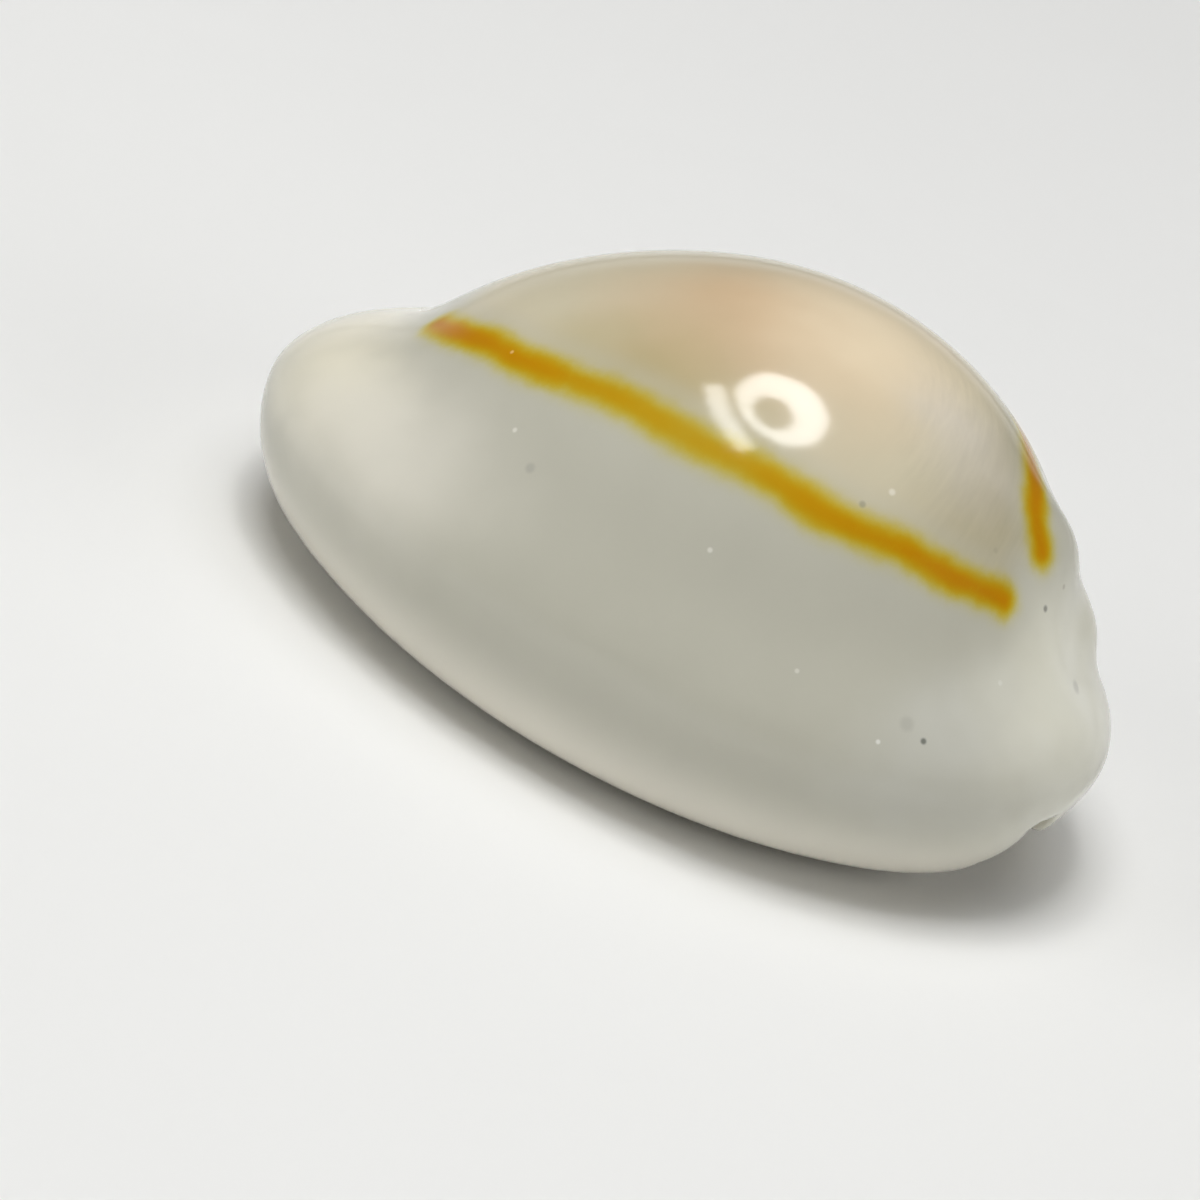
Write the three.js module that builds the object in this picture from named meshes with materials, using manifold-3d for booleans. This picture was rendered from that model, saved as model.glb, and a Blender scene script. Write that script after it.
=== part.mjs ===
// Gold ring cowrie shell, one solid piece, resting on its mouth side.
// Units are millimetres, Z is up and the rest plane is z = 0.
// +X is the hind (spire) end, -X the front end, +Y the outer lip side.
// The origin is below the middle of the shell.
import * as THREE from "three";
import { mergeVertices } from "three/addons/utils/BufferGeometryUtils.js";
import Module from "manifold-3d";

// Overall size of the hump and of the thick rim around it
const LENGTH = 24.0;
const WIDTH = 16.34;
const HEIGHT = 12.08;
// Point inside the shell that the outside is measured from
const CORE = new THREE.Vector3(0.135, 0.031, 3.578);

// Hump: share of the rim's reach, swell towards the hind end, roundness in plan
const HUMP_WIDTH = 0.933;
const HUMP_HIND = 0.881;
const HUMP_FRONT = 0.801;
const HUMP_WIDEN = 0.032;
const HUMP_LEAN = 0.154;
const HUMP_DROP = 0.0154;
const HUMP_PLAN_POWER = 1.95;

// Rim: height share on the inner and outer lip side, depth, and roundness in plan
const RIM_INNER_HEIGHT = 0.302;
const RIM_OUTER_HEIGHT = 0.231;
const RIM_DEPTH = 5.34;
const RIM_OUTER_WIDTH = 0.989;
const RIM_WIDEN = 0.0486;
const RIM_LEAN = 0.092;
const RIM_PLAN_POWER = 2.2;

// How sharply the hump meets the rim, and the sharper step of the hind outer corner
const STEP = 9;
const CORNER_STEP = 22;
const CORNER_START = 0.55;
const CORNER_QUICKNESS = 1.2;

// Mouth side: a shallow crown cut by the rest plane, and how soft its edge is
const CROWN = new THREE.Vector3(34, 22, 3.67);
const EDGE_POWER = 9;

// Swellings of the rim: bearing and rise in degrees, height in mm, spread in degrees
const HIND_SHOULDER = [9.3, 31.4, 0.58, 5.8];
const HIND_KNOB = [15.8, 14.1, 0.67, 5.3];
const HIND_DIP = [13.4, 34.1, -0.27, 4.5];
const HIND_END = [1.5, 5.6, 0.29, 7];
const SPIRE = [-8, 13, 0.16, 7];
const HIND_LOBE_INNER = [-15, -14, 0.2, 9];
const HIND_LOBE_OUTER = [18, -14, 0.2, 9];
const FRONT_LOBE_INNER = [197, -16, 0.2, 9];
const FRONT_LOBE_OUTER = [163, -16, 0.22, 9];
const SWELLINGS = [
  HIND_SHOULDER,
  HIND_KNOB,
  HIND_DIP,
  HIND_END,
  SPIRE,
  HIND_LOBE_INNER,
  HIND_LOBE_OUTER,
  FRONT_LOBE_INNER,
  FRONT_LOBE_OUTER,
];

// Hollow inside: reach from the core point towards each side
const HOLLOW_HIND = 9.0;
const HOLLOW_FRONT = 9.2;
const HOLLOW_INNER = 5.6;
const HOLLOW_OUTER = 6.2;
const HOLLOW_UP = 7.75;
const HOLLOW_DOWN = 1.7;
const HOLLOW_LEAN = 0.13;

// Mouth slit: width along the shell, bow of its middle line, rolled lips
const SLIT_MIDDLE = 1.5;
const SLIT_FRONT = 1.8;
const SLIT_HIND = 1.35;
const SLIT_BOW = 0.6;
const SLIT_BOW_REACH = 11;
const SLIT_CURL = 1.25;
const SLIT_CURL_START = 5;
const SLIT_CURL_REACH = 7;
const SLIT_TOP = 2.4;
const SLIT_TOP_MARGIN = 0.35;
const SLIT_END_MARGIN = 0.8;
const OUTER_LIP_ROLL = 2.3;
const INNER_LIP_ROLL = 1.8;
const LIP_ROLL_DEPTH = 1.3;
const LIP_ROLL_LEVELS = [0, 0.06, 0.22, 0.5, 1];

// Teeth: short ridges across the rolled lips
const OUTER_TEETH = 12;
const INNER_TEETH = 11;
const OUTER_TEETH_MIDDLE = -0.2;
const INNER_TEETH_MIDDLE = -0.6;
const TOOTH_PITCH = 1.6;
const TOOTH_THICK = 0.4;
const TOOTH_HEIGHT = 0.6;
const OUTER_TOOTH_REACH = 1.45;
const INNER_TOOTH_REACH = 1.2;
const TOOTH_OVERHANG = 0.25;
const TOOTH_CLEARANCE = 0.02;
const TOOTH_SHORTENING = 0.018;
const TOOTH_FAN = 0.012;

// How finely the curved faces are divided
const AROUND = 66;
const ALONG = 46;
const HOLLOW_AROUND = 24;
const HOLLOW_ALONG = 16;
const SLIT_SPANS = 36;

const wasm = await Module();
wasm.setup();

// Turns a closed geometry into a solid that can be joined and cut.
function solid(geometry) {
  geometry.deleteAttribute("normal");
  geometry.deleteAttribute("uv");
  const merged = mergeVertices(geometry, 1e-5);
  return new wasm.Manifold(new wasm.Mesh({
    numProp: 3,
    vertProperties: new Float32Array(merged.attributes.position.array),
    triVerts: new Uint32Array(merged.index.array),
  }));
}

// Moves every vertex of a geometry by a rule.
function reshape(geometry, rule) {
  const position = geometry.attributes.position;
  const point = new THREE.Vector3();
  for (let i = 0; i < position.count; i += 1) {
    point.fromBufferAttribute(position, i);
    rule(point);
    position.setXYZ(i, point.x, point.y, point.z);
  }
  return geometry;
}

// A ball with its poles on the shell's long axis.
function longBall(around, along) {
  const ball = new THREE.SphereGeometry(1, around, along);
  return reshape(ball, (p) => p.set(p.y, p.z, p.x));
}

// Runs from 0 to 1 across zero.
function share(t) {
  return 0.5 * (1 + Math.tanh(3 * t));
}

function mix(a, b, t) {
  return a + (b - a) * t;
}

// Reach of an oval: power n in plan, plain ellipse upwards.
function ovalReach(d, a, b, c, n) {
  const plan = Math.abs(d.x / a) ** n + Math.abs(d.y / b) ** n;
  return (plan ** (2 / n) + (d.z / c) ** 2) ** -0.5;
}

// Distance from the core point to the outside in direction d.
function outerReach(d) {
  const hind = share(d.x);
  const outer = share(d.y);
  const frontReach = LENGTH / 2 + CORE.x;
  const hindReach = LENGTH / 2 - CORE.x;
  const rimEnd = mix(frontReach, hindReach, hind);
  const humpEnd = mix(frontReach * HUMP_FRONT, hindReach * HUMP_HIND, hind);
  const humpSide = (WIDTH / 2) * HUMP_WIDTH * (1 + HUMP_WIDEN * d.x);
  const humpUp = (HEIGHT - CORE.z) * (1 + HUMP_LEAN * d.x - HUMP_DROP * d.x ** 2);
  const hump = ovalReach(d, humpEnd, humpSide, humpUp, HUMP_PLAN_POWER);

  const rimSide = (WIDTH / 2) * mix(1, RIM_OUTER_WIDTH, outer) * (1 + RIM_WIDEN * d.x);
  const rimShare = mix(RIM_INNER_HEIGHT, RIM_OUTER_HEIGHT, outer);
  const rimUp = d.z < 0 ? RIM_DEPTH : HEIGHT * rimShare * (1 + RIM_LEAN * d.x);
  const rim = ovalReach(d, rimEnd, rimSide, rimUp, RIM_PLAN_POWER);

  const corner = outer * share(CORNER_QUICKNESS * (d.x - CORNER_START));
  const step = mix(STEP, CORNER_STEP, corner);
  const most = Math.max(hump, rim);
  let reach = most * ((hump / most) ** step + (rim / most) ** step) ** (1 / step);
  for (const [bearing, rise, height, spread] of SWELLINGS) {
    const b = THREE.MathUtils.degToRad(bearing);
    const r = THREE.MathUtils.degToRad(rise);
    const s = THREE.MathUtils.degToRad(spread);
    const near = d.x * Math.cos(b) * Math.cos(r) + d.y * Math.sin(b) * Math.cos(r) + d.z * Math.sin(r);
    reach += height * Math.exp((near - 1) / s ** 2);
  }
  if (d.z >= 0) {
    return reach;
  }
  const crown = 1 / Math.hypot(d.x / CROWN.x, d.y / CROWN.y, d.z / CROWN.z);
  return (reach ** -EDGE_POWER + crown ** -EDGE_POWER) ** (-1 / EDGE_POWER);
}

// Distance from the core point to the hollow's wall in direction d.
function hollowReach(d) {
  const end = mix(HOLLOW_FRONT, HOLLOW_HIND, share(d.x));
  const flank = mix(HOLLOW_INNER, HOLLOW_OUTER, share(d.y));
  const up = d.z > 0 ? HOLLOW_UP * (1 + HOLLOW_LEAN * d.x) : HOLLOW_DOWN;
  return ovalReach(d, end, flank, up, 2);
}

function mapped(ball, reach) {
  return reshape(ball, (p) => {
    p.normalize();
    p.multiplyScalar(reach(p)).add(CORE);
  });
}

// Middle line of the mouth slit.
function slitMiddle(x) {
  const bow = SLIT_BOW * (1 - (x / SLIT_BOW_REACH) ** 2);
  const curl = SLIT_CURL * (Math.max(0, x - SLIT_CURL_START) / SLIT_CURL_REACH) ** 2;
  return bow - curl;
}

function slitHalfWidth(x) {
  const t = x / (LENGTH / 2);
  const end = t < 0 ? SLIT_FRONT : SLIT_HIND;
  return mix(SLIT_MIDDLE, end, t ** 4) / 2;
}

// Share of the lip roll's width that is open at depth t, from 0 at the mouth
// side to 1 where the roll ends.
function lipRoll(t) {
  return 1 - Math.sqrt(1 - (1 - t) ** 2);
}

// Height of the mouth side over the rest plane at a place in plan.
function mouthSide(x, y) {
  const d = new THREE.Vector3();
  let z = 0;
  for (let i = 0; i < 8; i += 1) {
    d.set(x, y, z).sub(CORE).normalize();
    z = CORE.z + outerReach(d) * d.z;
  }
  return Math.max(0, z);
}

// Solid that cuts the mouth slit and the notches at both ends.
function slitCutter() {
  const levels = LIP_ROLL_LEVELS.length + 1;
  const limit = LENGTH / 2 - SLIT_END_MARGIN;
  const box = new THREE.BoxGeometry(1, 1, 1, SLIT_SPANS, 1, levels);
  return solid(reshape(box, (p) => {
    const x = p.x * (LENGTH + 4);
    const level = Math.round((p.z + 0.5) * levels);
    const inside = THREE.MathUtils.clamp(x, -limit, limit);
    const mouth = mouthSide(inside, slitMiddle(inside));
    const roll = p.y > 0 ? OUTER_LIP_ROLL : INNER_LIP_ROLL;
    let half = slitHalfWidth(x);
    let z = Math.max(SLIT_TOP, mouth + LIP_ROLL_DEPTH + SLIT_TOP_MARGIN);
    if (level === 0) {
      half += roll;
      z = -1;
    } else if (level < levels) {
      const depth = LIP_ROLL_LEVELS[level - 1];
      half += roll * lipRoll(depth);
      z = mouth + LIP_ROLL_DEPTH * depth;
    }
    p.set(x, slitMiddle(x) + Math.sign(p.y) * half, z);
  }));
}

// One ridge lying across a lip; lipSide is +1 on the outer lip, -1 on the inner.
function tooth(x, lipSide, reach) {
  const ridge = new THREE.SphereGeometry(1, 8, 6);
  ridge.rotateX(Math.PI / 2);
  ridge.scale(TOOTH_THICK, reach, TOOTH_HEIGHT);
  ridge.rotateZ(-TOOTH_FAN * x * lipSide);
  const edge = slitMiddle(x) + lipSide * slitHalfWidth(x);
  const y = edge + lipSide * (reach - TOOTH_OVERHANG);
  ridge.translate(x, y, mouthSide(x, y) + TOOTH_HEIGHT + TOOTH_CLEARANCE);
  return solid(ridge);
}

function toothRow(count, middleX, lipSide, reach) {
  const row = [];
  for (let i = 0; i < count; i += 1) {
    const fromMiddle = i - (count - 1) / 2;
    const x = middleX + fromMiddle * TOOTH_PITCH;
    const length = reach * (1 - TOOTH_SHORTENING * fromMiddle ** 2);
    row.push(tooth(x, lipSide, length));
  }
  return row;
}

function shellSolid() {
  const aboveRest = new THREE.BoxGeometry(60, 60, 40);
  aboveRest.translate(0, 0, 20);
  let shell = solid(mapped(longBall(AROUND, ALONG), outerReach));
  const hollow = mapped(longBall(HOLLOW_AROUND, HOLLOW_ALONG), hollowReach);
  shell = shell.subtract(solid(hollow));
  shell = shell.subtract(slitCutter());
  const teeth = [
    ...toothRow(OUTER_TEETH, OUTER_TEETH_MIDDLE, 1, OUTER_TOOTH_REACH),
    ...toothRow(INNER_TEETH, INNER_TEETH_MIDDLE, -1, INNER_TOOTH_REACH),
  ];
  for (const ridge of teeth) {
    shell = shell.add(ridge);
  }
  return shell.intersect(solid(aboveRest));
}

function toGeometry(body) {
  const mesh = body.getMesh();
  const geometry = new THREE.BufferGeometry();
  geometry.setAttribute("position", new THREE.BufferAttribute(mesh.vertProperties, 3));
  geometry.setIndex(new THREE.BufferAttribute(mesh.triVerts, 1));
  geometry.computeVertexNormals();
  return geometry;
}

const shellMaterial = new THREE.MeshStandardMaterial({
  color: "#d9d2c0",
  roughness: 0.2,
  metalness: 0,
});

const shell = new THREE.Mesh(toGeometry(shellSolid()), shellMaterial);
shell.name = "shell";

const cowrie = new THREE.Group();
cowrie.name = "gold_ring_cowrie";
cowrie.add(shell);

export default cowrie;
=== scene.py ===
import math
import bpy
import numpy as np
from mathutils import Matrix, Vector


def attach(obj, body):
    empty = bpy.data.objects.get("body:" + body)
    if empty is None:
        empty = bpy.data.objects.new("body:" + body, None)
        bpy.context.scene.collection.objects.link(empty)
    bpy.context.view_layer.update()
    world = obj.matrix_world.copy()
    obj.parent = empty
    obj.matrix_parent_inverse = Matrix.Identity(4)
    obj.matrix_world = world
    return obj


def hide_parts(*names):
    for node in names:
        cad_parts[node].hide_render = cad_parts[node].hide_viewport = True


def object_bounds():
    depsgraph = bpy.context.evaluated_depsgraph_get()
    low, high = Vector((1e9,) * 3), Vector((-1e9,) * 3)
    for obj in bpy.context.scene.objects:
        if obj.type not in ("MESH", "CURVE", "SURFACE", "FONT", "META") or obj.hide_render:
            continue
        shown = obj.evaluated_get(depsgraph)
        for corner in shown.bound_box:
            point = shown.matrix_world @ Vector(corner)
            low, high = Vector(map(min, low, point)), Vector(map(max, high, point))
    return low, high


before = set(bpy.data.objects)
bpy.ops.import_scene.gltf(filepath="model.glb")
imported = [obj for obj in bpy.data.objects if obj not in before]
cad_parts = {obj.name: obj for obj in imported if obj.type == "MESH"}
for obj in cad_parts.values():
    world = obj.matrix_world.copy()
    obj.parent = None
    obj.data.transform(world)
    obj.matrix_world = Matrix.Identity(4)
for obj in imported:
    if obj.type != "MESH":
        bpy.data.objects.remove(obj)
cad_low, cad_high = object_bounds()

# Sizes are in millimetres and turn into metres where Blender takes them.
# +X is the hind end, +Y the outer lip side and z = 0 the rest plane.
MM = 0.001

# Outside of the shell, the same rule as the solid's
LENGTH = 24.0
WIDTH = 16.34
HEIGHT = 12.08
CORE = np.array([0.135, 0.031, 3.578])
HUMP_WIDTH, HUMP_HIND, HUMP_FRONT = 0.933, 0.881, 0.801
HUMP_WIDEN, HUMP_LEAN, HUMP_DROP = 0.032, 0.154, 0.0154
HUMP_PLAN_POWER = 1.95
RIM_INNER_HEIGHT, RIM_OUTER_HEIGHT, RIM_DEPTH = 0.302, 0.231, 5.34
RIM_OUTER_WIDTH, RIM_WIDEN, RIM_LEAN = 0.989, 0.0486, 0.092
RIM_PLAN_POWER = 2.2
STEP, CORNER_STEP = 9, 22
CORNER_START, CORNER_QUICKNESS = 0.55, 1.2
CROWN = (34, 22, 3.67)
EDGE_POWER = 9
# Swellings of the rim: bearing and rise in degrees, height in mm, spread in degrees
HIND_SHOULDER = (9.3, 31.4, 0.58, 5.8)
HIND_KNOB = (15.8, 14.1, 0.67, 5.3)
HIND_DIP = (13.4, 34.1, -0.27, 4.5)
HIND_END = (1.5, 5.6, 0.29, 7)
SPIRE = (-8, 13, 0.16, 7)
HIND_LOBE_INNER = (-15, -14, 0.2, 9)
HIND_LOBE_OUTER = (18, -14, 0.2, 9)
FRONT_LOBE_INNER = (197, -16, 0.2, 9)
FRONT_LOBE_OUTER = (163, -16, 0.22, 9)
SWELLINGS = [
    HIND_SHOULDER, HIND_KNOB, HIND_DIP, HIND_END, SPIRE,
    HIND_LOBE_INNER, HIND_LOBE_OUTER, FRONT_LOBE_INNER, FRONT_LOBE_OUTER,
]

# Hollow inside
HOLLOW_HIND, HOLLOW_FRONT = 9.0, 9.2
HOLLOW_INNER, HOLLOW_OUTER = 5.6, 6.2
HOLLOW_UP, HOLLOW_DOWN, HOLLOW_LEAN = 7.75, 1.7, 0.13

# Mouth slit with its rolled lips and teeth
SLIT_MIDDLE, SLIT_FRONT, SLIT_HIND = 1.5, 1.8, 1.35
SLIT_BOW, SLIT_BOW_REACH = 0.6, 11
SLIT_CURL, SLIT_CURL_START, SLIT_CURL_REACH = 1.25, 5, 7
SLIT_TOP, SLIT_TOP_MARGIN, SLIT_END_MARGIN = 2.4, 0.35, 0.8
OUTER_LIP_ROLL, INNER_LIP_ROLL, LIP_ROLL_DEPTH = 2.3, 1.8, 1.3
OUTER_TEETH, INNER_TEETH, TOOTH_PITCH = 12, 11, 1.6
OUTER_TEETH_MIDDLE, INNER_TEETH_MIDDLE = -0.2, -0.6
TOOTH_HEIGHT, TOOTH_HALF_WIDTH, TOOTH_FAN = 0.42, 0.43, 0.03
TOOTH_DEPTH, TOOTH_FADE_START, TOOTH_POWER = 1.9, 0.55, 2.4
# How far the teeth of one row differ from each other
TOOTH_SHIFT, TOOTH_LEAN = 0.09, 0.03
TOOTH_WIDTHS, TOOTH_HEIGHTS = (0.88, 1.1), (0.85, 1.05)
OUTER_TEETH_SEED, INNER_TEETH_SEED = 7, 11
# Rounding where the shell's surfaces meet
LIP_ROUNDING, SLIT_TOP_ROUNDING = 0.22, 0.5
HOLLOW_ROUNDING, REST_ROUNDING = 0.4, 0.02

# The ring on the back, as two lines in plan from front to hind
NEAR_LINE = [(-7.95, -2.17), (-7.3, -2.76), (-6.23, -3.48), (-4.02, -4.64), (-0.21, -5.46),
             (2.48, -5.39), (5.01, -4.9), (7.26, -3.65), (8.23, -2.84), (8.95, -2.0)]
FAR_LINE = [(-8.2, 1.8), (-7.4, 2.6), (-6.2, 3.4), (-3.5, 4.4), (-0.5, 4.8), (2.0, 4.75),
            (4.2, 4.2), (5.6, 3.4), (6.62, 2.3), (7.3, 1.36), (7.8, 0.68), (8.31, -0.04),
            (8.92, -0.32)]
# Its pigment: strength at the ends and how much less in the middle, the part of
# each screen primary that it takes away, and how fast it thins out sideways
RING_STRENGTH, RING_MIDDLE_LOSS = 7.0, 3.4
RING_MIDDLE, RING_MIDDLE_SPREAD = 0.6, 3.6
RING_TAKES = (0.0, 0.127, 1.0)
RING_SPREAD, RING_MIDDLE_WIDEN = 0.245, 0.04
# Unevenness of its edges in mm, and how thin and thick its pigment lies
RING_SWELL, RING_RAGGEDNESS = 0.26, 0.22
RING_THIN, RING_BLOTCH = 0.8, 0.4

# Colours, each patch with its centre and half widths in mm
FLANK_COLOUR = (194, 192, 177)
FLANK_PATCHES = [
    ((-9.4, 0.0, 5.2), (4.9, 13.0, 2.3), (245, 239, 217)),
    ((-9.2, -6.9, 5.8), (8.4, 4.7, 3.9), (230, 226, 213)),
    ((-9.2, 6.9, 5.8), (8.4, 4.7, 3.9), (230, 226, 213)),
    ((10.9, 0.0, 5.9), (3.2, 5.5, 6.4), (242, 240, 223)),
    ((8.4, 0.0, 3.9), (4.6, 8.0, 3.4), (238, 240, 238)),
]
BACK_COLOUR = (211, 202, 175)
BACK_PATCHES = [
    ((-1.2, -4.4, 10.0), (5.4, 2.4, 4.7), (187, 175, 135)),
    ((0.0, -2.1, 13.0), (7.4, 4.2, 5.4), (211, 180, 142)),
    ((2.5, -0.3, 10.6), (4.7, 4.2, 5.1), (243, 226, 195)),
    ((7.6, 0.0, 9.5), (3.1, 6.4, 3.7), (176, 167, 136)),
    ((5.6, -0.9, 9.3), (3.2, 2.8, 4.0), (220, 213, 202)),
]
# How softly the patches fade, how far their edges waver, and how wide in mm the
# change from the back to the flank is
PATCH_SOFTNESS, PATCH_WAVER = 0.95, 1.8
BACK_TO_FLANK = (-1.5, 0.3)
UNDERSIDE_COLOUR, UNDERSIDE_SHARE, UNDERSIDE_LEVELS = (238, 233, 220), 0.85, (3.2, 0.6)
MOUTH_COLOUR, MOUTH_SHARE, MOUTH_DEPTHS = (205, 192, 196), 0.7, (0.9, 2.2)
BROAD_MOTTLE, CLOUDY_MOTTLE = 0.06, 0.05

# Growth streaks: the point they bend round, how fine they are across and along, their
# contrast, and the radius, y and x over which they come in
STREAK_CENTRE = (0.5, -3.0)
STREAKS_ACROSS, STREAKS_ALONG, STREAK_CONTRAST = 4.5, 5.0, 0.2
STREAK_RADIUS, STREAK_Y, STREAK_X = (3.5, 5.5), (-4.2, -2.2), (2.5, 4.5)

# Specks: centre, half width in mm, colour and strength
SPECKS = [
    ((9.33, -5.24, 5.12), 0.12, (96, 100, 92), 0.8),
    ((9.63, -0.51, 7.73), 0.13, (112, 112, 104), 0.7),
    ((9.6, 0.44, 8.07), 0.1, (160, 150, 130), 0.4),
    ((8.2, -1.85, 9.12), 0.11, (170, 160, 140), 0.4),
    ((5.23, -4.36, 9.63), 0.13, (140, 138, 128), 0.5),
    ((-2.62, -6.54, 6.99), 0.2, (150, 148, 140), 0.35),
    ((10.9, 0.55, 5.7), 0.26, (160, 158, 150), 0.35),
    ((8.81, -5.41, 5.4), 0.28, (160, 158, 148), 0.3),
    ((-5.05, -4.12, 8.4), 0.08, (238, 196, 120), 0.7),
    ((-3.59, -5.9, 7.39), 0.1, (250, 248, 240), 0.45),
    ((5.63, -3.69, 10.01), 0.13, (250, 246, 234), 0.5),
    ((2.67, -6.65, 7.54), 0.1, (248, 246, 238), 0.5),
    ((8.49, -6.12, 4.92), 0.09, (250, 250, 244), 0.6),
    ((9.88, -2.68, 6.33), 0.1, (244, 244, 236), 0.4),
    ((6.0, -6.72, 5.83), 0.09, (246, 244, 236), 0.4),
]

# Enamel: roughness with its unevenness, refraction, and relief in mm with its strength
ROUGHNESS, ROUGHNESS_MOTTLE = 0.08, 0.06
REFRACTION = 1.53
RELIEF, RELIEF_STRENGTH = 0.05, 0.25
CLOUDY_RELIEF, FINE_RELIEF = 0.6, 0.06

# Camera, worked out from the outline in the photograph
AZIMUTH, ELEVATION, ROLL = 17.865, 25.209, 21.694
DISTANCE = 216.0
PIXELS_PER_MM = 38.454
PHOTO_SIZE = 1200
TARGET = (0.014, 0.031, 5.5)
TARGET_PIXEL = (710.123, 498.246)
SENSOR = 36.0

# Lamps, placed so that their gleams fall where the photograph shows them
LAMP_DISTANCE = 250.0
RING_LAMP_STRENGTH, STRIP_LAMP_STRENGTH = 11, 9
RING_LAMP_SIDES = 48
RING_LAMP_AIM = (-0.117, -0.185, 0.949)
RING_LAMP_ACROSS, RING_LAMP_ALONG = (0.212, -0.032, 0.019), (0.042, -0.233, -0.041)
RING_LAMP_HOLE, RING_LAMP_HOLE_SHIFT = 0.455, (-0.019, -0.065, 0.004)
STRIP_LAMP_AIMS = ((-0.412, -0.191, 0.891), (-0.291, -0.386, 0.876), (-0.109, -0.531, 0.84))
STRIP_LAMP_WIDTH = 20.0
# Soft lamps that leave no gleam: name, place and size in mm, power in watts
SOFT_LAMPS = [
    ("overhead", (0, 10, 420), 420, 0.68),
    ("front_fill", (-260, -260, 160), 240, 0.235),
    ("hind_fill", (330, -20, 150), 240, 0.205),
]
SOFT_LAMP_AIM = (0, 0, 6)
# Light from all round, at eye level and overhead, and where it fades
WORLD_LEVEL, WORLD_OVERHEAD = 0.6, 0.05
WORLD_FADE_START, WORLD_FADE_END = -0.02, 0.24
# Floor, in metres, just under the rest plane
FLOOR_HALF, FLOOR_DROP = 1.5, 0.02 * MM

# Mesh: size of its cells, step for slopes, and the least slope that is trusted
CELL = 0.156
SLOPE_STEP, LEAST_SLOPE = 0.03, 0.3
SETTLE_TURNS = 4
SPLINE_STEPS = 24


# Shape rules

def share(t):
    """Runs from 0 to 1 across zero."""
    return 0.5 * (1 + np.tanh(3 * t))


def mix(a, b, t):
    return a + (b - a) * t


def smooth_step(low, high, t):
    t = np.clip((t - low) / (high - low), 0, 1)
    return t * t * (3 - 2 * t)


def smooth_max(a, b, radius):
    """The larger of two distances, with a rounded change-over."""
    blend = np.maximum(radius - np.abs(a - b), 0) / radius
    return np.maximum(a, b) + blend * blend * radius / 4


def oval_reach(x, y, z, a, b, c, power):
    plan = np.abs(x / a) ** power + np.abs(y / b) ** power
    return (plan ** (2 / power) + (z / c) ** 2) ** -0.5


def outer_reach(x, y, z):
    """Distance from the core point to the outside in a unit direction."""
    hind, outer = share(x), share(y)
    front_reach = LENGTH / 2 + CORE[0]
    hind_reach = LENGTH / 2 - CORE[0]
    rim_end = mix(front_reach, hind_reach, hind)
    hump_end = mix(front_reach * HUMP_FRONT, hind_reach * HUMP_HIND, hind)
    hump_side = WIDTH / 2 * HUMP_WIDTH * (1 + HUMP_WIDEN * x)
    hump_up = (HEIGHT - CORE[2]) * (1 + HUMP_LEAN * x - HUMP_DROP * x * x)
    hump = oval_reach(x, y, z, hump_end, hump_side, hump_up, HUMP_PLAN_POWER)
    rim_side = WIDTH / 2 * mix(1, RIM_OUTER_WIDTH, outer) * (1 + RIM_WIDEN * x)
    rim_share = mix(RIM_INNER_HEIGHT, RIM_OUTER_HEIGHT, outer)
    rim_up = np.where(z < 0, RIM_DEPTH, HEIGHT * rim_share * (1 + RIM_LEAN * x))
    rim = oval_reach(x, y, z, rim_end, rim_side, rim_up, RIM_PLAN_POWER)
    step = mix(STEP, CORNER_STEP, outer * share(CORNER_QUICKNESS * (x - CORNER_START)))
    most = np.maximum(hump, rim)
    reach = most * ((hump / most) ** step + (rim / most) ** step) ** (1 / step)
    for bearing, rise, height, spread in SWELLINGS:
        b, r, s = (math.radians(v) for v in (bearing, rise, spread))
        near = x * math.cos(b) * math.cos(r) + y * math.sin(b) * math.cos(r) + z * math.sin(r)
        reach = reach + height * np.exp((near - 1) / s ** 2)
    crown = np.sqrt((x / CROWN[0]) ** 2 + (y / CROWN[1]) ** 2 + (z / CROWN[2]) ** 2)
    crown = np.where(z < 0, crown, 0)
    return (reach ** -EDGE_POWER + crown ** EDGE_POWER) ** (-1 / EDGE_POWER)


def hollow_reach(x, y, z):
    end = mix(HOLLOW_FRONT, HOLLOW_HIND, share(x))
    flank = mix(HOLLOW_INNER, HOLLOW_OUTER, share(y))
    up = np.where(z > 0, HOLLOW_UP * (1 + HOLLOW_LEAN * x), HOLLOW_DOWN)
    return oval_reach(x, y, z, end, flank, up, 2)


def from_core(points, reach):
    """How far points lie beyond a reach rule, measured along rays from the core."""
    offset = points - CORE
    length = np.maximum(np.linalg.norm(offset, axis=-1), 1e-6)
    unit = offset / length[..., None]
    return length - reach(unit[..., 0], unit[..., 1], unit[..., 2])


def surface_height(x, y, low, high):
    """Height of the outside over a place in plan, between two levels."""
    low = np.full(np.shape(x), float(low))
    high = np.full(np.shape(x), float(high))
    for _ in range(36):
        middle = (low + high) / 2
        beyond = from_core(np.stack([x, y, middle], -1), outer_reach) > 0
        low, high = np.where(beyond, low, middle), np.where(beyond, middle, high)
    return (low + high) / 2


def slit_middle(x):
    """The mouth slit's middle line, as y for each x."""
    bow = SLIT_BOW * (1 - (x / SLIT_BOW_REACH) ** 2)
    return bow - SLIT_CURL * (np.maximum(0, x - SLIT_CURL_START) / SLIT_CURL_REACH) ** 2


def slit_half_width(x):
    t = x / (LENGTH / 2)
    return mix(SLIT_MIDDLE, np.where(t < 0, SLIT_FRONT, SLIT_HIND), t ** 4) / 2


def mouth_levels():
    """Height of the mouth side along the slit's middle line."""
    end = LENGTH / 2 - SLIT_END_MARGIN
    x = np.linspace(-end, end, 91)
    return x, np.maximum(0, surface_height(x, slit_middle(x), CORE[2], -1))


MOUTH_X, MOUTH_Z = mouth_levels()


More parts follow.
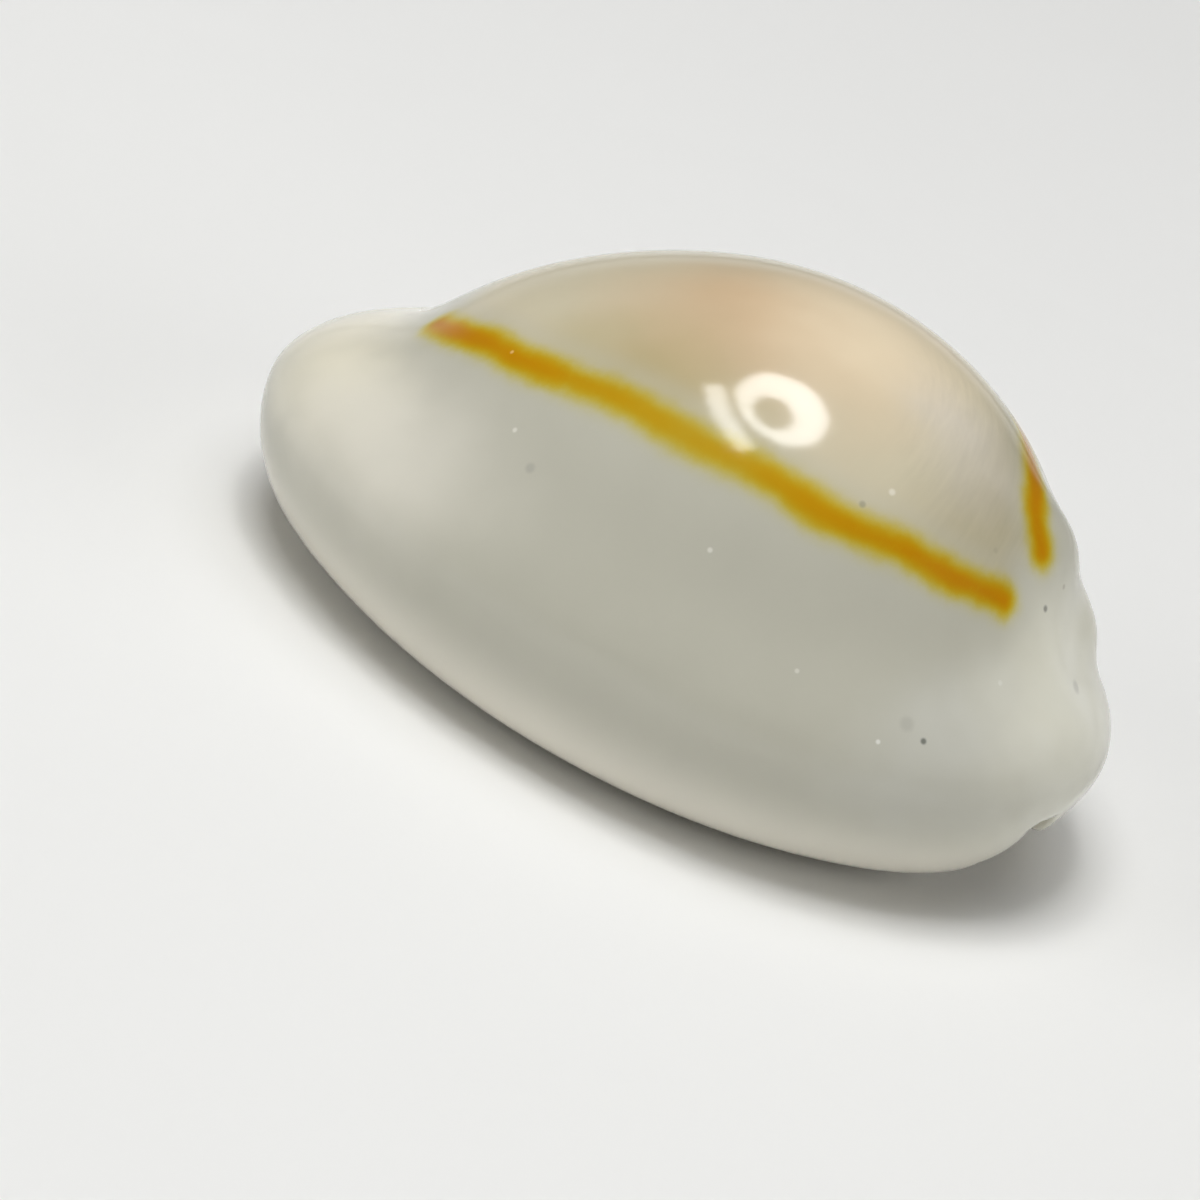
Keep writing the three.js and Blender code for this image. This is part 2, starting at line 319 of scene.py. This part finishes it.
def tooth_ridges(x, out, side):
    """Share of full tooth height at a place on one lip, out mm from the slit."""
    count = OUTER_TEETH if side > 0 else INNER_TEETH
    middle = OUTER_TEETH_MIDDLE if side > 0 else INNER_TEETH_MIDDLE
    ridges = np.zeros_like(x)
    wobble = np.random.default_rng(OUTER_TEETH_SEED if side > 0 else INNER_TEETH_SEED)
    for i in range(count):
        from_middle = i - (count - 1) / 2
        shift = wobble.uniform(-TOOTH_SHIFT, TOOTH_SHIFT)
        place = middle + from_middle * TOOTH_PITCH + shift
        half_width = TOOTH_HALF_WIDTH * wobble.uniform(*TOOTH_WIDTHS)
        lean = TOOTH_FAN * from_middle + wobble.uniform(-TOOTH_LEAN, TOOTH_LEAN)
        across = np.abs(x - place - lean * out) / half_width
        height = wobble.uniform(*TOOTH_HEIGHTS)
        ridges = np.maximum(ridges, height * np.exp(-across ** TOOTH_POWER))
    return ridges


def lip_distance(points):
    """Distance to the wall of the mouth slit, positive in the shell's material."""
    x, y, z = points[..., 0], points[..., 1], points[..., 2]
    aside = y - slit_middle(x)
    outer = aside > 0
    roll = np.where(outer, OUTER_LIP_ROLL, INNER_LIP_ROLL)
    out = np.abs(aside) - slit_half_width(x)
    deep = z - np.interp(x, MOUTH_X, MOUTH_Z)
    in_roll = (out < roll) & (deep < LIP_ROLL_DEPTH)
    u, v = (out - roll) / roll, (deep - LIP_ROLL_DEPTH) / LIP_ROLL_DEPTH
    ring = np.sqrt(u * u + v * v) + 1e-9
    slope = np.sqrt((u / roll) ** 2 + (v / LIP_ROLL_DEPTH) ** 2) / ring + 1e-9
    rolled = (1 - ring) / slope
    flat = np.where(deep < LIP_ROLL_DEPTH, deep + (out - roll), out)
    wall = np.where(in_roll, rolled, flat)
    fade = 1 - smooth_step(TOOTH_FADE_START * TOOTH_DEPTH, TOOTH_DEPTH, deep)
    ridges = np.where(outer, tooth_ridges(x, out, 1), tooth_ridges(x, out, -1))
    wall = wall + TOOTH_HEIGHT * fade * ridges
    top = np.maximum(SLIT_TOP, z - deep + LIP_ROLL_DEPTH + SLIT_TOP_MARGIN)
    return smooth_max(wall, z - top, SLIT_TOP_ROUNDING)


def carve(points, outside):
    """Distance to the whole shell, from the distance to its outside."""
    field = smooth_max(outside, -lip_distance(points), LIP_ROUNDING)
    field = smooth_max(field, -from_core(points, hollow_reach), HOLLOW_ROUNDING)
    return smooth_max(field, -points[..., 2], REST_ROUNDING)


def field_and_slope(points):
    """The shell's distance field and its direction of growth at any points."""
    steps = np.eye(3) * SLOPE_STEP
    raw = from_core(points, outer_reach)
    raw_slope = np.stack([
        (from_core(points + step, outer_reach) - raw) / SLOPE_STEP for step in steps
    ], -1)
    steepness = np.maximum(np.linalg.norm(raw_slope, axis=-1), LEAST_SLOPE)
    value = carve(points, raw / steepness)
    slope = []
    for i, step in enumerate(steps):
        moved = (raw + raw_slope[:, i] * SLOPE_STEP) / steepness
        slope.append((carve(points + step, moved) - value) / SLOPE_STEP)
    return value, np.stack(slope, -1)


# Mesh of the shell

def sample_grid():
    """The shell's field on an even grid of cells."""
    low = np.array([cad_low[i] / MM - 2.5 * CELL for i in range(3)])
    high = np.array([cad_high[i] / MM + 2.5 * CELL for i in range(3)])
    counts = np.ceil((high - low) / CELL).astype(int)
    axes = [low[i] + CELL * np.arange(counts[i]) for i in range(3)]
    points = np.stack(np.meshgrid(*axes, indexing="ij"), -1)
    raw = from_core(points, outer_reach)
    slopes = np.gradient(raw, CELL)
    steepness = np.maximum(np.sqrt(sum(s * s for s in slopes)), LEAST_SLOPE)
    return low, carve(points, raw / steepness)


def surface_cells(low, field):
    """One point in each cell that the surface crosses, and the faces between them."""
    inside = field < 0
    cells = tuple(n - 1 for n in field.shape)
    total = np.zeros(cells + (3,))
    crossings = np.zeros(cells)

    def window(array, offset):
        return array[tuple(slice(o, o + n) for o, n in zip(offset, cells))]

    for axis in range(3):
        others = [a for a in range(3) if a != axis]
        for corner in ((0, 0), (0, 1), (1, 0), (1, 1)):
            start = [0, 0, 0]
            start[others[0]], start[others[1]] = corner
            end = list(start)
            end[axis] = 1
            a, b = window(field, start), window(field, end)
            crossed = window(inside, start) != window(inside, end)
            along = np.where(crossed, a / np.where(crossed, a - b, 1), 0)
            place = np.zeros(cells + (3,))
            place[...] = start
            place[..., axis] = along
            total += place * crossed[..., None]
            crossings += crossed
    used = crossings > 0
    index = np.full(cells, -1)
    index[used] = np.arange(used.sum())
    corner = np.argwhere(used)
    points = low + CELL * (corner + total[used] / crossings[used][:, None])

    faces = []
    for axis in range(3):
        p, q = (axis + 1) % 3, (axis + 2) % 3
        front = [slice(1, n) for n in cells]
        front[axis] = slice(0, cells[axis])
        start = inside[tuple(front)]
        shifted = list(front)
        shifted[axis] = slice(1, cells[axis] + 1)
        end = inside[tuple(shifted)]
        edges = np.argwhere(start != end)
        outward = start[tuple(edges.T)]
        offset = np.ones(3, int)
        offset[axis] = 0
        base = edges + offset

        def cell(dp, dq):
            place = base.copy()
            place[:, p] -= dp
            place[:, q] -= dq
            return index[tuple(place.T)]

        quad = np.stack([cell(1, 1), cell(0, 1), cell(0, 0), cell(1, 0)], 1)
        quad[~outward] = quad[~outward][:, ::-1]
        faces.append(quad)
    return points, np.concatenate(faces)


def settle(points, faces):
    """Evens the mesh out and brings every point onto the surface."""
    edges = np.concatenate([faces[:, [i, (i + 1) % 4]] for i in range(4)])
    joined = np.bincount(edges.ravel(), minlength=len(points)).astype(float)
    for turn in range(SETTLE_TURNS):
        total = np.zeros_like(points)
        for axis in range(3):
            total[:, axis] += np.bincount(edges[:, 0], points[edges[:, 1], axis], len(points))
            total[:, axis] += np.bincount(edges[:, 1], points[edges[:, 0], axis], len(points))
        if turn < SETTLE_TURNS - 1:
            points = mix(points, total / joined[:, None], 0.5)
        value, slope = field_and_slope(points)
        pull = value / np.maximum((slope * slope).sum(1), 0.25)
        points = points - slope * np.clip(pull, -CELL, CELL)[:, None]
    return points


def spline(points):
    """A smooth line through a few points in plan."""
    p = np.array([points[0]] + list(points) + [points[-1]], float)
    p[0] = 2 * p[1] - p[2]
    p[-1] = 2 * p[-2] - p[-3]
    line = []
    for a, b, c, d in zip(p, p[1:], p[2:], p[3:]):
        for t in np.arange(SPLINE_STEPS) / SPLINE_STEPS:
            line.append(0.5 * (2 * b + (c - a) * t + (2 * a - 5 * b + 4 * c - d) * t ** 2
                               + (3 * b - a - 3 * c + d) * t ** 3))
    line.append(p[-2])
    return np.array(line)


def nearest(points, line):
    """Distance to a line of points."""
    best = np.full(len(points), 1e9)
    for spot in line:
        best = np.minimum(best, ((points - spot) ** 2).sum(1))
    return np.sqrt(best)


def inside_outline(points, outline):
    """Which points in plan lie within a closed outline."""
    inside = np.zeros(len(points), bool)
    for (x0, y0), (x1, y1) in zip(outline, np.roll(outline, -1, 0)):
        straddles = (y0 > points[:, 1]) != (y1 > points[:, 1])
        if y0 != y1:
            cut = x0 + (points[:, 1] - y0) * (x1 - x0) / (y1 - y0)
            inside ^= straddles & (points[:, 0] < cut)
    return inside


def ring_marks(points):
    """Distance to the ring's lines, and the signed distance to the patch of back
    that the ring surrounds."""
    lines = []
    for plan in (spline(NEAR_LINE), spline(FAR_LINE)):
        height = surface_height(plan[:, 0], plan[:, 1], CORE[2], HEIGHT + 1)
        lines.append(np.column_stack([plan, height]))
    ring = np.minimum(nearest(points, lines[0]), nearest(points, lines[1]))

    closing = []
    for a, b in ((lines[0][-1], lines[1][-1]), (lines[1][0], lines[0][0])):
        t = np.linspace(0, 1, 16)[1:-1, None]
        plan = mix(a[:2], b[:2], t)
        height = surface_height(plan[:, 0], plan[:, 1], CORE[2], HEIGHT + 1)
        closing.append(np.column_stack([plan, height]))
    outline = np.concatenate([lines[0], closing[0], lines[1][::-1], closing[1]])
    gap = nearest(points, outline)
    within = inside_outline(points[:, :2], outline[:, :2]) & (points[:, 2] > CORE[2])
    return ring, np.where(within, -gap, gap)


def build_shell():
    low, field = sample_grid()
    points, faces = surface_cells(low, field)
    points = settle(points, faces)
    _, normals = field_and_slope(points)
    normals /= np.maximum(np.linalg.norm(normals, axis=1), 1e-9)[:, None]

    mesh = bpy.data.meshes.new("cowrie_shell")
    mesh.vertices.add(len(points))
    mesh.vertices.foreach_set("co", (points * MM).ravel())
    mesh.loops.add(faces.size)
    mesh.loops.foreach_set("vertex_index", faces.ravel())
    mesh.polygons.add(len(faces))
    mesh.polygons.foreach_set("loop_start", np.arange(0, faces.size, 4))
    mesh.update(calc_edges=True)
    mesh.validate()
    mesh.shade_smooth()
    mesh.normals_split_custom_set_from_vertices(normals.tolist())

    ring, back = ring_marks(points)
    marks = {
        "ring": ring,
        "back": back,
        "depth": -from_core(points, outer_reach),
    }
    for name, values in marks.items():
        layer = mesh.attributes.new(name, "FLOAT", "POINT")
        layer.data.foreach_set("value", values.astype(np.float32))
    shell = bpy.data.objects.new("cowrie_shell", mesh)
    bpy.context.scene.collection.objects.link(shell)
    print("shell mesh:", len(points), "points,", 2 * len(faces), "triangles")
    return shell


# Materials

def linear(red, green, blue):
    """A screen colour, 0 to 255, as scene light."""
    def channel(value):
        value /= 255
        return value / 12.92 if value <= 0.04045 else ((value + 0.055) / 1.055) ** 2.4
    return (channel(red), channel(green), channel(blue), 1)


class Nodes:
    """Short calls that add shader nodes to a material."""

    def __init__(self, name):
        self.material = bpy.data.materials.new(name)
        self.material.use_nodes = True
        self.tree = self.material.node_tree
        self.tree.nodes.clear()

    def add(self, kind, inputs=(), **settings):
        node = self.tree.nodes.new(kind)
        for key, value in settings.items():
            setattr(node, key, value)
        for key, value in dict(inputs).items():
            self.set(node.inputs[key], value)
        return node

    def set(self, socket, value):
        if isinstance(value, bpy.types.NodeSocket):
            self.tree.links.new(value, socket)
        else:
            socket.default_value = value

    def math(self, operation, *values):
        return self.add("ShaderNodeMath", enumerate(values), operation=operation).outputs[0]

    def ramp(self, value, low, high):
        """Runs smoothly from 0 at low to 1 at high."""
        node = self.add("ShaderNodeMapRange", {"Value": value, "From Min": low, "From Max": high})
        node.interpolation_type = "SMOOTHSTEP"
        return node.outputs["Result"]

    def bell(self, value):
        """1 at zero, falling off on both sides like a bell curve."""
        return self.math("POWER", math.exp(-0.5), self.math("MULTIPLY", value, value))

    def blend(self, factor, a, b, kind="MIX"):
        """From colour a to colour b, or to a times b."""
        node = self.add("ShaderNodeMix", data_type="RGBA", blend_type=kind)
        self.set(node.inputs["Factor"], factor)
        self.set(node.inputs[6], a)
        self.set(node.inputs[7], b)
        return node.outputs[2]

    def vector(self, operation, *values):
        node = self.add("ShaderNodeVectorMath", enumerate(values), operation=operation)
        return node.outputs["Value" if operation == "LENGTH" else "Vector"]

    def patch(self, place, centre, size, soft):
        """1 about a centre, fading to 0 at the edge of an oval of half widths."""
        offset = self.vector("DIVIDE", self.vector("SUBTRACT", place, centre), size)
        return self.ramp(self.vector("LENGTH", offset), 1.0, 1.0 - soft)

    def patches(self, place, colour, patches):
        """A colour with patches of others laid over it."""
        result = linear(*colour)
        for centre, size, shade in patches:
            share_laid = self.patch(place, centre, size, PATCH_SOFTNESS)
            result = self.blend(share_laid, result, linear(*shade))
        return result

    def noise(self, place, scale, detail=3.0, roughness=0.5):
        node = self.add("ShaderNodeTexNoise", {
            "Vector": place, "Scale": scale, "Detail": detail, "Roughness": roughness})
        return node.outputs["Fac"]

    def attribute(self, name):
        return self.add("ShaderNodeAttribute", attribute_name=name).outputs["Fac"]

    def finish(self, shader):
        output = self.add("ShaderNodeOutputMaterial")
        self.set(output.inputs["Surface"], shader.outputs[0])


def growth_streaks(n, x, y, back):
    """Fine streaks, light and dark about 0, that bend round the hind part of the back."""
    from_x = n.math("SUBTRACT", x, STREAK_CENTRE[0])
    from_y = n.math("SUBTRACT", y, STREAK_CENTRE[1])
    radius = n.math("SQRT", n.math("ADD", n.math("MULTIPLY", from_x, from_x),
                                   n.math("MULTIPLY", from_y, from_y)))
    turn = n.math("ARCTAN2", from_y, from_x)
    unrolled = n.add("ShaderNodeCombineXYZ", {
        0: n.math("MULTIPLY", radius, STREAKS_ACROSS),
        1: n.math("MULTIPLY", turn, STREAKS_ALONG)})
    streaks = n.math("SUBTRACT", n.noise(unrolled.outputs[0], 1.0, 3.0, 0.6), 0.5)
    where = n.math("MULTIPLY", n.ramp(radius, *STREAK_RADIUS), n.ramp(y, *STREAK_Y))
    where = n.math("MULTIPLY", where, n.ramp(back, 0.0, -1.0))
    where = n.math("MULTIPLY", where, n.ramp(x, *STREAK_X))
    return n.math("MULTIPLY", streaks, n.math("MULTIPLY", where, STREAK_CONTRAST))


def ring_stain(n, place, x, ring, fine):
    """What the ring's pigment lets through. It takes away blue and some green and thins
    out sideways, so the ring is orange where it is thick and yellow at its edges."""
    swell = n.math("MULTIPLY", n.math("SUBTRACT", n.noise(place, 0.8, 1.0), 0.5), RING_SWELL)
    ragged = n.math("MULTIPLY", n.math("SUBTRACT", fine, 0.5), RING_RAGGEDNESS)
    across = n.math("MAXIMUM", n.math("ADD", n.math("ADD", ring, ragged), swell), 0.0)
    along = n.bell(n.math("DIVIDE", n.math("SUBTRACT", x, RING_MIDDLE), RING_MIDDLE_SPREAD))
    spread = n.math("ADD", RING_SPREAD, n.math("MULTIPLY", along, RING_MIDDLE_WIDEN))
    profile = n.bell(n.math("DIVIDE", across, spread))
    strength = n.math("SUBTRACT", RING_STRENGTH, n.math("MULTIPLY", along, RING_MIDDLE_LOSS))
    cloud = n.noise(place, 1.1, 3.0, 0.6)
    blotch = n.math("ADD", RING_THIN, n.math("MULTIPLY", cloud, RING_BLOTCH))
    pigment = n.math("MULTIPLY", profile, n.math("MULTIPLY", strength, blotch))
    passed = n.add("ShaderNodeCombineColor", {
        i: n.math("POWER", math.exp(-taken), pigment) for i, taken in enumerate(RING_TAKES)})
    return passed.outputs[0]


def shell_material():
    n = Nodes("cowrie_enamel")
    coordinates = n.add("ShaderNodeTexCoord").outputs["Object"]
    place = n.vector("MULTIPLY", coordinates, (1 / MM,) * 3)
    axes = n.add("ShaderNodeSeparateXYZ", {0: place})
    x, y, z = (axes.outputs[i] for i in range(3))
    ring, back, depth = n.attribute("ring"), n.attribute("back"), n.attribute("depth")

    broad = n.noise(place, 0.22, 2.0)
    cloudy = n.noise(place, 0.55, 3.0)
    fine = n.noise(place, 2.2, 4.0, 0.6)

    # Patches of colour have wavering edges
    waver = n.add("ShaderNodeTexNoise", {"Vector": place, "Scale": 0.35, "Detail": 2.0})
    waver = n.vector("SUBTRACT", waver.outputs["Color"], (0.5,) * 3)
    wavering = n.vector("ADD", place, n.vector("MULTIPLY", waver, (PATCH_WAVER,) * 3))

    flank = n.patches(wavering, FLANK_COLOUR, FLANK_PATCHES)
    dorsal = n.patches(wavering, BACK_COLOUR, BACK_PATCHES)
    colour = n.blend(n.ramp(back, *BACK_TO_FLANK), dorsal, flank)
    under = n.math("MULTIPLY", n.ramp(z, *UNDERSIDE_LEVELS), UNDERSIDE_SHARE)
    colour = n.blend(under, colour, linear(*UNDERSIDE_COLOUR))
    colour = n.blend(1.0, colour, ring_stain(n, place, x, ring, fine), "MULTIPLY")
    for centre, size, shade, strength in SPECKS:
        speck = n.math("MULTIPLY", n.patch(place, centre, (size,) * 3, 0.7), strength)
        colour = n.blend(speck, colour, linear(*shade))
    mouth = n.math("MULTIPLY", n.ramp(depth, *MOUTH_DEPTHS), MOUTH_SHARE)
    colour = n.blend(mouth, colour, linear(*MOUTH_COLOUR))

    mottle = n.math("ADD", n.math("MULTIPLY", n.math("SUBTRACT", broad, 0.5), BROAD_MOTTLE),
                    n.math("MULTIPLY", n.math("SUBTRACT", cloudy, 0.5), CLOUDY_MOTTLE))
    value = n.math("ADD", n.math("ADD", 1.0, mottle), growth_streaks(n, x, y, back))
    colour = n.add("ShaderNodeHueSaturation", {"Value": value, "Color": colour}).outputs[0]

    relief = n.math("ADD", n.math("MULTIPLY", cloudy, CLOUDY_RELIEF),
                    n.math("MULTIPLY", fine, FINE_RELIEF))
    bump = n.add("ShaderNodeBump", {
        "Height": relief, "Strength": RELIEF_STRENGTH, "Distance": RELIEF * MM})
    n.finish(n.add("ShaderNodeBsdfPrincipled", {
        "Base Color": colour,
        "Roughness": n.math("ADD", ROUGHNESS, n.math("MULTIPLY", fine, ROUGHNESS_MOTTLE)),
        "Normal": bump.outputs[0],
        "IOR": REFRACTION,
    }))
    return n.material


def floor_material():
    n = Nodes("studio_floor")
    place = n.add("ShaderNodeTexCoord").outputs["Object"]
    grain = n.noise(place, 40.0, 2.0)
    colour = n.blend(grain, linear(243, 243, 241), linear(247, 247, 245))
    n.finish(n.add("ShaderNodeBsdfPrincipled", {"Base Color": colour, "Roughness": 0.9}))
    return n.material


# Camera and light

def camera_axes():
    azimuth, elevation, roll = (math.radians(v) for v in (AZIMUTH, ELEVATION, ROLL))
    back = Vector((math.sin(azimuth) * math.cos(elevation),
                   -math.cos(azimuth) * math.cos(elevation),
                   math.sin(elevation)))
    level = Vector((math.cos(azimuth), math.sin(azimuth), 0))
    above = back.cross(level)
    right = level * math.cos(roll) + above * math.sin(roll)
    up = above * math.cos(roll) - level * math.sin(roll)
    return right, up, back


def add_camera():
    right, up, back = camera_axes()
    place = (Vector(TARGET) + back * DISTANCE) * MM
    # Turned a little aside, so that the target shows off the picture's middle
    back = (back * PIXELS_PER_MM * DISTANCE + right * (TARGET_PIXEL[0] - PHOTO_SIZE / 2)
            - up * (TARGET_PIXEL[1] - PHOTO_SIZE / 2)).normalized()
    right = (right - back * right.dot(back)).normalized()
    up = back.cross(right)
    camera = bpy.data.cameras.new("camera")
    camera.sensor_width = SENSOR
    camera.lens = PIXELS_PER_MM * DISTANCE * SENSOR / PHOTO_SIZE
    camera.clip_start = 1 * MM
    camera.clip_end = 10
    holder = bpy.data.objects.new("camera", camera)
    turn = Matrix((right, up, back)).transposed().to_4x4()
    holder.matrix_world = Matrix.Translation(place) @ turn
    bpy.context.scene.collection.objects.link(holder)
    bpy.context.scene.camera = holder


def add_soft_lamp(name, place, size, power):
    light = bpy.data.lights.new(name, "AREA")
    light.shape = "DISK"
    light.size = size * MM
    light.energy = power
    holder = bpy.data.objects.new(name, light)
    toward = (Vector(SOFT_LAMP_AIM) - Vector(place)).normalized()
    turn = toward.to_track_quat("-Z", "Y").to_matrix().to_4x4()
    holder.matrix_world = Matrix.Translation(Vector(place) * MM) @ turn
    holder.visible_glossy = False
    bpy.context.scene.collection.objects.link(holder)


def lamp_material(name, strength):
    n = Nodes(name)
    n.finish(n.add("ShaderNodeEmission", {"Color": (1, 1, 1, 1), "Strength": strength}))
    return n.material


def add_lamp(name, corners, faces, strength):
    """A glowing panel of the studio, which the camera doesn't see directly."""
    mesh = bpy.data.meshes.new(name)
    mesh.from_pydata([tuple(c * MM for c in corner) for corner in corners], [], faces)
    mesh.materials.append(lamp_material(name, strength))
    lamp = bpy.data.objects.new(name, mesh)
    lamp.visible_camera = False
    bpy.context.scene.collection.objects.link(lamp)


def add_ring_lamp():
    """A ring lamp over the back, seen as the ring-shaped gleam."""
    centre = Vector(TARGET) + Vector(RING_LAMP_AIM) * LAMP_DISTANCE
    across, along = Vector(RING_LAMP_ACROSS), Vector(RING_LAMP_ALONG)
    hole = centre + Vector(RING_LAMP_HOLE_SHIFT) * LAMP_DISTANCE
    corners, faces = [], []
    for i in range(RING_LAMP_SIDES):
        turn = 2 * math.pi * i / RING_LAMP_SIDES
        spoke = (across * math.cos(turn) + along * math.sin(turn)) * LAMP_DISTANCE
        corners += [hole + spoke * RING_LAMP_HOLE, centre + spoke]
        a, b = 2 * i, 2 * ((i + 1) % RING_LAMP_SIDES)
        faces.append((a, a + 1, b + 1, b))
    add_lamp("ring_lamp", corners, faces, RING_LAMP_STRENGTH)


def add_strip_lamp():
    """A narrow bent panel beside the ring lamp, seen as the short streak."""
    aims = [Vector(aim).normalized() for aim in STRIP_LAMP_AIMS]
    bends = [Vector(TARGET) + aim * LAMP_DISTANCE for aim in aims]
    corners, faces = [], []
    for i, (aim, bend) in enumerate(zip(aims, bends)):
        along = bends[min(i + 1, len(bends) - 1)] - bends[max(i - 1, 0)]
        half = along.cross(aim).normalized() * STRIP_LAMP_WIDTH / 2
        corners += [bend - half, bend + half]
        if i:
            faces.append((2 * i - 2, 2 * i - 1, 2 * i + 1, 2 * i))
    add_lamp("strip_lamp", corners, faces, STRIP_LAMP_STRENGTH)


def add_world():
    """Light from all round, pale at eye level and dim overhead."""
    world = bpy.data.worlds.new("studio")
    world.use_nodes = True
    tree = world.node_tree
    direction = tree.nodes.new("ShaderNodeTexCoord").outputs["Generated"]
    axes = tree.nodes.new("ShaderNodeSeparateXYZ")
    tree.links.new(direction, axes.inputs[0])
    fade = tree.nodes.new("ShaderNodeMapRange")
    fade.interpolation_type = "SMOOTHSTEP"
    limits = (WORLD_FADE_START, WORLD_FADE_END, WORLD_LEVEL, WORLD_OVERHEAD)
    for name, value in zip(("From Min", "From Max", "To Min", "To Max"), limits):
        fade.inputs[name].default_value = value
    tree.links.new(axes.outputs["Z"], fade.inputs["Value"])
    background = tree.nodes["Background"]
    background.inputs["Color"].default_value = (1, 1, 1, 1)
    tree.links.new(fade.outputs["Result"], background.inputs["Strength"])
    bpy.context.scene.world = world


def add_floor():
    mesh = bpy.data.meshes.new("floor")
    signs = ((-1, -1), (1, -1), (1, 1), (-1, 1))
    corners = [(x * FLOOR_HALF, y * FLOOR_HALF, -FLOOR_DROP) for x, y in signs]
    mesh.from_pydata(corners, [], [(0, 1, 2, 3)])
    floor = bpy.data.objects.new("floor", mesh)
    floor.data.materials.append(floor_material())
    bpy.context.scene.collection.objects.link(floor)


add_camera()
add_floor()
add_world()
add_ring_lamp()
add_strip_lamp()
for lamp in SOFT_LAMPS:
    add_soft_lamp(*lamp)

shell = build_shell()
shell.data.materials.append(shell_material())
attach(shell, "root")
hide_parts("shell")

bpy.context.scene.view_settings.view_transform = "Standard"
